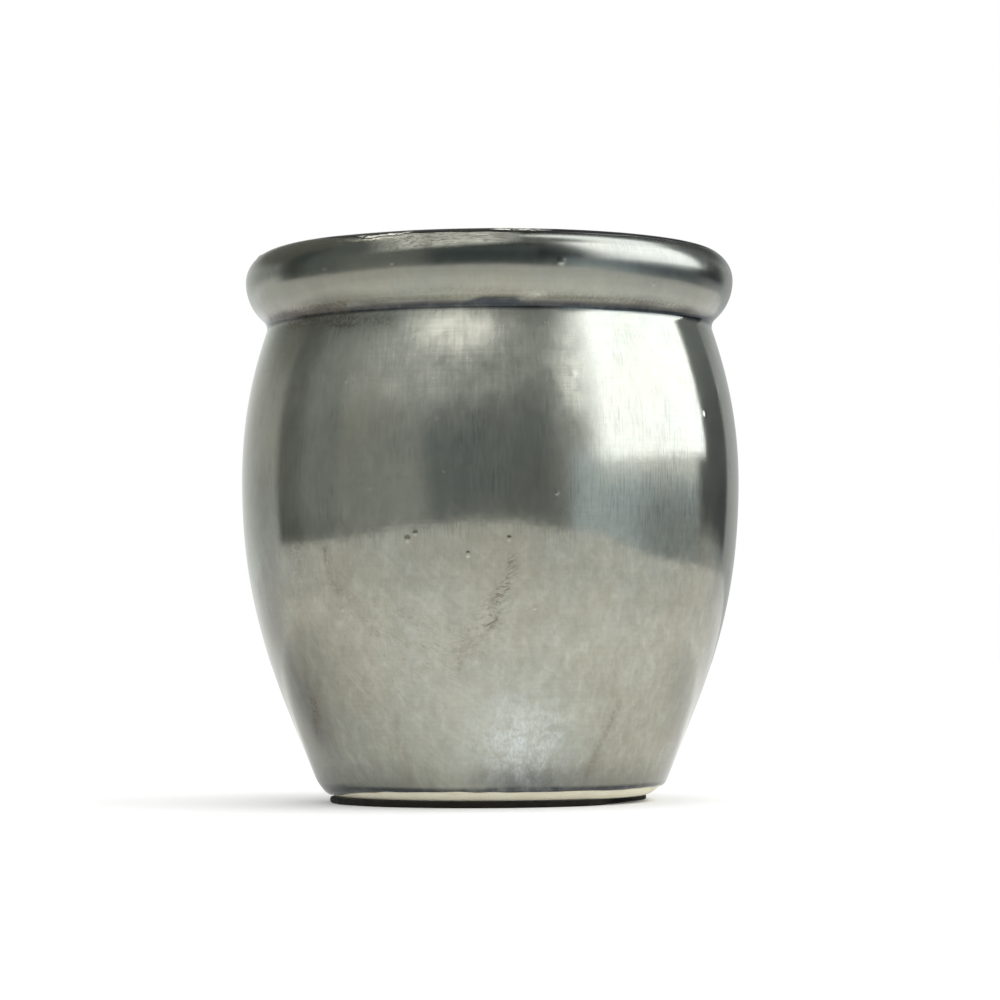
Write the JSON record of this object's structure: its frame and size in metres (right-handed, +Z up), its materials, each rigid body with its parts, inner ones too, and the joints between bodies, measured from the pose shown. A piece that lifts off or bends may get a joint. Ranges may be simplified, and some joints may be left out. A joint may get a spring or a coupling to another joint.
{
  "type": "ceramic pot",
  "caption": "Small barrel-bellied stoneware pot with a thick rolled collar, dark metallic outer glaze, black liner glaze and a felt base pad.",
  "frame": {"origin": "on the pot's axis, at the level of the surface it stands on", "axes": "+Z up along the pot's axis, +X to the right and -Y towards the viewer of the front"},
  "size_m": [0.1046, 0.1046, 0.1154],
  "materials": {
    "bare_clay": "unglazed fired clay, cream, matt",
    "metallic_glaze": "dark metallic pewter glaze, satin gloss, with pinholes",
    "black_glaze": "black glaze, glossy",
    "felt": "black felt, matt",
    "adhesive": "dark pressure-sensitive adhesive film"
  },
  "bodies": {
    "root": {"clay_vessel": "bare_clay", "rolled_collar": "bare_clay", "outer_glaze": "metallic_glaze", "liner_glaze": "black_glaze", "felt_pad": "felt", "adhesive_film": "adhesive"}
  },
  "joints": []
}
